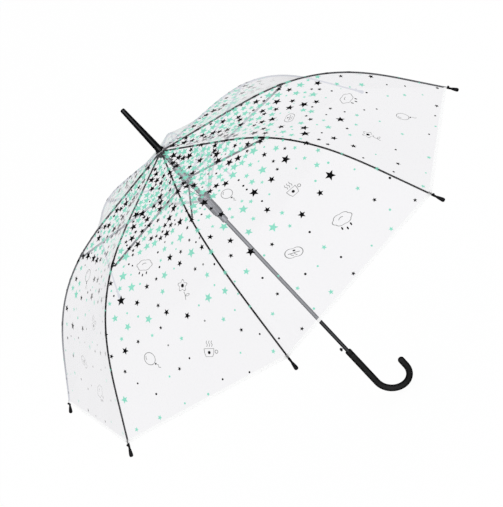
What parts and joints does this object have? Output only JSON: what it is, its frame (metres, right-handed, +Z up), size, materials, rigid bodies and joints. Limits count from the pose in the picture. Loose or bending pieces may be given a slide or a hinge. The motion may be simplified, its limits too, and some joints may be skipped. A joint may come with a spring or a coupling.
{
  "type": "stick umbrella",
  "caption": "Open auto-open stick umbrella with a clear film dome on curved ribs, a two-runner spring frame, a slim shaft and a J handle.",
  "frame": {"origin": "the middle of the ferrule's flat end, on the shaft's axis, which the closed umbrella stands on", "axes": "+Z up along the shaft towards the ferrule, +X towards the open side of the J hook; shown open and upright"},
  "size_m": [0.9666, 0.9666, 0.828],
  "materials": {
    "film": "clear with a soft gloss",
    "black_steel": "black coated steel, satin",
    "black_fibreglass": "black fibreglass rod, satin",
    "black_plastic": "black moulded plastic, matte",
    "bright_wire": "bright spring steel wire"
  },
  "bodies": {
    "umbrella_stick": {"shaft": "black_steel", "ferrule": "black_plastic", "notch": "black_plastic", "notch_wire": "bright_wire", "handle": "black_plastic", "canopy": "film"},
    "upper_runner": {"upper_runner": "black_plastic", "upper_runner_wire": "bright_wire"},
    "lower_runner": {"lower_runner": "black_plastic", "lower_runner_wire": "bright_wire", "drive_spring": "bright_wire"},
    "release_button": {"release_button": "black_plastic"},
    "rib_inner_1": {"rib_inner_1": "black_fibreglass"},
    "rib_mid_1": {"rib_mid_1": "black_fibreglass"},
    "rib_end_1": {"rib_end_1": "black_fibreglass", "rib_tip_1": "black_plastic"},
    "stretcher_1": {"stretcher_1": "black_steel"},
    "link_1": {"link_1": "black_steel"},
    "rib_inner_2": {"rib_inner_2": "black_fibreglass"},
    "rib_mid_2": {"rib_mid_2": "black_fibreglass"},
    "rib_end_2": {"rib_end_2": "black_fibreglass", "rib_tip_2": "black_plastic"},
    "stretcher_2": {"stretcher_2": "black_steel"},
    "link_2": {"link_2": "black_steel"},
    "rib_inner_3": {"rib_inner_3": "black_fibreglass"},
    "rib_mid_3": {"rib_mid_3": "black_fibreglass"},
    "rib_end_3": {"rib_end_3": "black_fibreglass", "rib_tip_3": "black_plastic"},
    "stretcher_3": {"stretcher_3": "black_steel"},
    "link_3": {"link_3": "black_steel"},
    "rib_inner_4": {"rib_inner_4": "black_fibreglass"},
    "rib_mid_4": {"rib_mid_4": "black_fibreglass"},
    "rib_end_4": {"rib_end_4": "black_fibreglass", "rib_tip_4": "black_plastic"},
    "stretcher_4": {"stretcher_4": "black_steel"},
    "link_4": {"link_4": "black_steel"},
    "rib_inner_5": {"rib_inner_5": "black_fibreglass"},
    "rib_mid_5": {"rib_mid_5": "black_fibreglass"},
    "rib_end_5": {"rib_end_5": "black_fibreglass", "rib_tip_5": "black_plastic"},
    "stretcher_5": {"stretcher_5": "black_steel"},
    "link_5": {"link_5": "black_steel"},
    "rib_inner_6": {"rib_inner_6": "black_fibreglass"},
    "rib_mid_6": {"rib_mid_6": "black_fibreglass"},
    "rib_end_6": {"rib_end_6": "black_fibreglass", "rib_tip_6": "black_plastic"},
    "stretcher_6": {"stretcher_6": "black_steel"},
    "link_6": {"link_6": "black_steel"},
    "rib_inner_7": {"rib_inner_7": "black_fibreglass"},
    "rib_mid_7": {"rib_mid_7": "black_fibreglass"},
    "rib_end_7": {"rib_end_7": "black_fibreglass", "rib_tip_7": "black_plastic"},
    "stretcher_7": {"stretcher_7": "black_steel"},
    "link_7": {"link_7": "black_steel"},
    "rib_inner_8": {"rib_inner_8": "black_fibreglass"},
    "rib_mid_8": {"rib_mid_8": "black_fibreglass"},
    "rib_end_8": {"rib_end_8": "black_fibreglass", "rib_tip_8": "black_plastic"},
    "stretcher_8": {"stretcher_8": "black_steel"},
    "link_8": {"link_8": "black_steel"}
  },
  "joints": [
    {"name": "lower_runner_slide", "type": "slide", "parent": "umbrella_stick", "child": "lower_runner", "axis": [0, 0, -1], "range_m": [0, 0.38493], "stiffness_N_per_m": 40, "springref_m": -0.12, "deforming": ["drive_spring", "canopy"]},
    {"name": "upper_runner_slide", "type": "slide", "parent": "umbrella_stick", "child": "upper_runner", "axis": [0, 0, -1], "range_m": [0, 0.4195]},
    {"name": "release_button_push", "type": "slide", "parent": "umbrella_stick", "child": "release_button", "axis": [1, 0, 0], "range_m": [0, 0.002], "stiffness_N_per_m": 150},
    {"name": "rib_hinge_1", "type": "hinge", "parent": "umbrella_stick", "child": "rib_inner_1", "pos_m": [0.00769, 0.00221, -0.1114], "axis": [-0.2756, 0.9613, 0], "range_deg": [0, 76.09]},
    {"name": "rib_flex_mid_1", "type": "hinge", "parent": "rib_inner_1", "child": "rib_mid_1", "pos_m": [0.26566, 0.07618, -0.17292], "axis": [0.2756, -0.9613, 0], "range_deg": [0, 24.85]},
    {"name": "rib_flex_end_1", "type": "hinge", "parent": "rib_mid_1", "child": "rib_end_1", "pos_m": [0.3864, 0.1108, -0.26985], "axis": [0.2756, -0.9613, 0], "range_deg": [0, 13.64]},
    {"name": "stretcher_hinge_1", "type": "hinge", "parent": "upper_runner", "child": "stretcher_1", "pos_m": [0.00726, 0.00479, -0.184], "axis": [0.2756, -0.9613, 0], "range_deg": [0, 85.16]},
    {"name": "link_hinge_1", "type": "hinge", "parent": "lower_runner", "child": "link_1", "pos_m": [0.01081, 0.00404, -0.236], "axis": [0.2756, -0.9613, 0], "range_deg": [0, 51.1]},
    {"name": "rib_hinge_2", "type": "hinge", "parent": "umbrella_stick", "child": "rib_inner_2", "pos_m": [0.00388, 0.007, -0.1114], "axis": [-0.8746, 0.4848, 0], "range_deg": [0, 76.09]},
    {"name": "rib_flex_mid_2", "type": "hinge", "parent": "rib_inner_2", "child": "rib_mid_2", "pos_m": [0.13399, 0.24172, -0.17292], "axis": [0.8746, -0.4848, 0], "range_deg": [0, 24.85]},
    {"name": "rib_flex_end_2", "type": "hinge", "parent": "rib_mid_2", "child": "rib_end_2", "pos_m": [0.19488, 0.35158, -0.26985], "axis": [0.8746, -0.4848, 0], "range_deg": [0, 13.64]},
    {"name": "stretcher_hinge_2", "type": "hinge", "parent": "upper_runner", "child": "stretcher_2", "pos_m": [0.00175, 0.00852, -0.184], "axis": [0.8746, -0.4848, 0], "range_deg": [0, 85.16]},
    {"name": "link_hinge_2", "type": "hinge", "parent": "lower_runner", "child": "link_2", "pos_m": [0.00479, 0.01049, -0.236], "axis": [0.8746, -0.4848, 0], "range_deg": [0, 51.1]},
    {"name": "rib_hinge_3", "type": "hinge", "parent": "umbrella_stick", "child": "rib_inner_3", "pos_m": [-0.00221, 0.00769, -0.1114], "axis": [-0.9613, -0.2756, 0], "range_deg": [0, 76.09]},
    {"name": "rib_flex_mid_3", "type": "hinge", "parent": "rib_inner_3", "child": "rib_mid_3", "pos_m": [-0.07618, 0.26566, -0.17292], "axis": [0.9613, 0.2756, 0], "range_deg": [0, 24.85]},
    {"name": "rib_flex_end_3", "type": "hinge", "parent": "rib_mid_3", "child": "rib_end_3", "pos_m": [-0.1108, 0.3864, -0.26985], "axis": [0.9613, 0.2756, 0], "range_deg": [0, 13.64]},
    {"name": "stretcher_hinge_3", "type": "hinge", "parent": "upper_runner", "child": "stretcher_3", "pos_m": [-0.00479, 0.00726, -0.184], "axis": [0.9613, 0.2756, 0], "range_deg": [0, 85.16]},
    {"name": "link_hinge_3", "type": "hinge", "parent": "lower_runner", "child": "link_3", "pos_m": [-0.00404, 0.01081, -0.236], "axis": [0.9613, 0.2756, 0], "range_deg": [0, 51.1]},
    {"name": "rib_hinge_4", "type": "hinge", "parent": "umbrella_stick", "child": "rib_inner_4", "pos_m": [-0.007, 0.00388, -0.1114], "axis": [-0.4848, -0.8746, 0], "range_deg": [0, 76.09]},
    {"name": "rib_flex_mid_4", "type": "hinge", "parent": "rib_inner_4", "child": "rib_mid_4", "pos_m": [-0.24172, 0.13399, -0.17292], "axis": [0.4848, 0.8746, 0], "range_deg": [0, 24.85]},
    {"name": "rib_flex_end_4", "type": "hinge", "parent": "rib_mid_4", "child": "rib_end_4", "pos_m": [-0.35158, 0.19488, -0.26985], "axis": [0.4848, 0.8746, 0], "range_deg": [0, 13.64]},
    {"name": "stretcher_hinge_4", "type": "hinge", "parent": "upper_runner", "child": "stretcher_4", "pos_m": [-0.00852, 0.00175, -0.184], "axis": [0.4848, 0.8746, 0], "range_deg": [0, 85.16]},
    {"name": "link_hinge_4", "type": "hinge", "parent": "lower_runner", "child": "link_4", "pos_m": [-0.01049, 0.00479, -0.236], "axis": [0.4848, 0.8746, 0], "range_deg": [0, 51.1]},
    {"name": "rib_hinge_5", "type": "hinge", "parent": "umbrella_stick", "child": "rib_inner_5", "pos_m": [-0.00769, -0.00221, -0.1114], "axis": [0.2756, -0.9613, 0], "range_deg": [0, 76.09]},
    {"name": "rib_flex_mid_5", "type": "hinge", "parent": "rib_inner_5", "child": "rib_mid_5", "pos_m": [-0.26566, -0.07618, -0.17292], "axis": [-0.2756, 0.9613, 0], "range_deg": [0, 24.85]},
    {"name": "rib_flex_end_5", "type": "hinge", "parent": "rib_mid_5", "child": "rib_end_5", "pos_m": [-0.3864, -0.1108, -0.26985], "axis": [-0.2756, 0.9613, 0], "range_deg": [0, 13.64]},
    {"name": "stretcher_hinge_5", "type": "hinge", "parent": "upper_runner", "child": "stretcher_5", "pos_m": [-0.00726, -0.00479, -0.184], "axis": [-0.2756, 0.9613, 0], "range_deg": [0, 85.16]},
    {"name": "link_hinge_5", "type": "hinge", "parent": "lower_runner", "child": "link_5", "pos_m": [-0.01081, -0.00404, -0.236], "axis": [-0.2756, 0.9613, 0], "range_deg": [0, 51.1]},
    {"name": "rib_hinge_6", "type": "hinge", "parent": "umbrella_stick", "child": "rib_inner_6", "pos_m": [-0.00388, -0.007, -0.1114], "axis": [0.8746, -0.4848, 0], "range_deg": [0, 76.09]},
    {"name": "rib_flex_mid_6", "type": "hinge", "parent": "rib_inner_6", "child": "rib_mid_6", "pos_m": [-0.13399, -0.24172, -0.17292], "axis": [-0.8746, 0.4848, 0], "range_deg": [0, 24.85]},
    {"name": "rib_flex_end_6", "type": "hinge", "parent": "rib_mid_6", "child": "rib_end_6", "pos_m": [-0.19488, -0.35158, -0.26985], "axis": [-0.8746, 0.4848, 0], "range_deg": [0, 13.64]},
    {"name": "stretcher_hinge_6", "type": "hinge", "parent": "upper_runner", "child": "stretcher_6", "pos_m": [-0.00175, -0.00852, -0.184], "axis": [-0.8746, 0.4848, 0], "range_deg": [0, 85.16]},
    {"name": "link_hinge_6", "type": "hinge", "parent": "lower_runner", "child": "link_6", "pos_m": [-0.00479, -0.01049, -0.236], "axis": [-0.8746, 0.4848, 0], "range_deg": [0, 51.1]},
    {"name": "rib_hinge_7", "type": "hinge", "parent": "umbrella_stick", "child": "rib_inner_7", "pos_m": [0.00221, -0.00769, -0.1114], "axis": [0.9613, 0.2756, 0], "range_deg": [0, 76.09]},
    {"name": "rib_flex_mid_7", "type": "hinge", "parent": "rib_inner_7", "child": "rib_mid_7", "pos_m": [0.07618, -0.26566, -0.17292], "axis": [-0.9613, -0.2756, 0], "range_deg": [0, 24.85]},
    {"name": "rib_flex_end_7", "type": "hinge", "parent": "rib_mid_7", "child": "rib_end_7", "pos_m": [0.1108, -0.3864, -0.26985], "axis": [-0.9613, -0.2756, 0], "range_deg": [0, 13.64]},
    {"name": "stretcher_hinge_7", "type": "hinge", "parent": "upper_runner", "child": "stretcher_7", "pos_m": [0.00479, -0.00726, -0.184], "axis": [-0.9613, -0.2756, 0], "range_deg": [0, 85.16]},
    {"name": "link_hinge_7", "type": "hinge", "parent": "lower_runner", "child": "link_7", "pos_m": [0.00404, -0.01081, -0.236], "axis": [-0.9613, -0.2756, 0], "range_deg": [0, 51.1]},
    {"name": "rib_hinge_8", "type": "hinge", "parent": "umbrella_stick", "child": "rib_inner_8", "pos_m": [0.007, -0.00388, -0.1114], "axis": [0.4848, 0.8746, 0], "range_deg": [0, 76.09]},
    {"name": "rib_flex_mid_8", "type": "hinge", "parent": "rib_inner_8", "child": "rib_mid_8", "pos_m": [0.24172, -0.13399, -0.17292], "axis": [-0.4848, -0.8746, 0], "range_deg": [0, 24.85]},
    {"name": "rib_flex_end_8", "type": "hinge", "parent": "rib_mid_8", "child": "rib_end_8", "pos_m": [0.35158, -0.19488, -0.26985], "axis": [-0.4848, -0.8746, 0], "range_deg": [0, 13.64]},
    {"name": "stretcher_hinge_8", "type": "hinge", "parent": "upper_runner", "child": "stretcher_8", "pos_m": [0.00852, -0.00175, -0.184], "axis": [-0.4848, -0.8746, 0], "range_deg": [0, 85.16]},
    {"name": "link_hinge_8", "type": "hinge", "parent": "lower_runner", "child": "link_8", "pos_m": [0.01049, -0.00479, -0.236], "axis": [-0.4848, -0.8746, 0], "range_deg": [0, 51.1]}
  ],
  "couplings": [
    {"joint": "upper_runner_slide", "follows": "lower_runner_slide", "ratio": 1.0897},
    {"joint": "rib_hinge_1", "follows": "lower_runner_slide", "rad_per_m": 3.4492},
    {"joint": "rib_flex_mid_1", "follows": "lower_runner_slide", "rad_per_m": 1.1258},
    {"joint": "rib_flex_end_1", "follows": "lower_runner_slide", "rad_per_m": 0.61738},
    {"joint": "stretcher_hinge_1", "follows": "lower_runner_slide", "rad_per_m": 3.8602},
    {"joint": "link_hinge_1", "follows": "lower_runner_slide", "rad_per_m": 2.3161},
    {"joint": "rib_hinge_2", "follows": "lower_runner_slide", "rad_per_m": 3.4492},
    {"joint": "rib_flex_mid_2", "follows": "lower_runner_slide", "rad_per_m": 1.1258},
    {"joint": "rib_flex_end_2", "follows": "lower_runner_slide", "rad_per_m": 0.61738},
    {"joint": "stretcher_hinge_2", "follows": "lower_runner_slide", "rad_per_m": 3.8602},
    {"joint": "link_hinge_2", "follows": "lower_runner_slide", "rad_per_m": 2.3161},
    {"joint": "rib_hinge_3", "follows": "lower_runner_slide", "rad_per_m": 3.4492},
    {"joint": "rib_flex_mid_3", "follows": "lower_runner_slide", "rad_per_m": 1.1258},
    {"joint": "rib_flex_end_3", "follows": "lower_runner_slide", "rad_per_m": 0.61738},
    {"joint": "stretcher_hinge_3", "follows": "lower_runner_slide", "rad_per_m": 3.8602},
    {"joint": "link_hinge_3", "follows": "lower_runner_slide", "rad_per_m": 2.3161},
    {"joint": "rib_hinge_4", "follows": "lower_runner_slide", "rad_per_m": 3.4492},
    {"joint": "rib_flex_mid_4", "follows": "lower_runner_slide", "rad_per_m": 1.1258},
    {"joint": "rib_flex_end_4", "follows": "lower_runner_slide", "rad_per_m": 0.61738},
    {"joint": "stretcher_hinge_4", "follows": "lower_runner_slide", "rad_per_m": 3.8602},
    {"joint": "link_hinge_4", "follows": "lower_runner_slide", "rad_per_m": 2.3161},
    {"joint": "rib_hinge_5", "follows": "lower_runner_slide", "rad_per_m": 3.4492},
    {"joint": "rib_flex_mid_5", "follows": "lower_runner_slide", "rad_per_m": 1.1258},
    {"joint": "rib_flex_end_5", "follows": "lower_runner_slide", "rad_per_m": 0.61738},
    {"joint": "stretcher_hinge_5", "follows": "lower_runner_slide", "rad_per_m": 3.8602},
    {"joint": "link_hinge_5", "follows": "lower_runner_slide", "rad_per_m": 2.3161},
    {"joint": "rib_hinge_6", "follows": "lower_runner_slide", "rad_per_m": 3.4492},
    {"joint": "rib_flex_mid_6", "follows": "lower_runner_slide", "rad_per_m": 1.1258},
    {"joint": "rib_flex_end_6", "follows": "lower_runner_slide", "rad_per_m": 0.61738},
    {"joint": "stretcher_hinge_6", "follows": "lower_runner_slide", "rad_per_m": 3.8602},
    {"joint": "link_hinge_6", "follows": "lower_runner_slide", "rad_per_m": 2.3161},
    {"joint": "rib_hinge_7", "follows": "lower_runner_slide", "rad_per_m": 3.4492},
    {"joint": "rib_flex_mid_7", "follows": "lower_runner_slide", "rad_per_m": 1.1258},
    {"joint": "rib_flex_end_7", "follows": "lower_runner_slide", "rad_per_m": 0.61738},
    {"joint": "stretcher_hinge_7", "follows": "lower_runner_slide", "rad_per_m": 3.8602},
    {"joint": "link_hinge_7", "follows": "lower_runner_slide", "rad_per_m": 2.3161},
    {"joint": "rib_hinge_8", "follows": "lower_runner_slide", "rad_per_m": 3.4492},
    {"joint": "rib_flex_mid_8", "follows": "lower_runner_slide", "rad_per_m": 1.1258},
    {"joint": "rib_flex_end_8", "follows": "lower_runner_slide", "rad_per_m": 0.61738},
    {"joint": "stretcher_hinge_8", "follows": "lower_runner_slide", "rad_per_m": 3.8602},
    {"joint": "link_hinge_8", "follows": "lower_runner_slide", "rad_per_m": 2.3161}
  ]
}
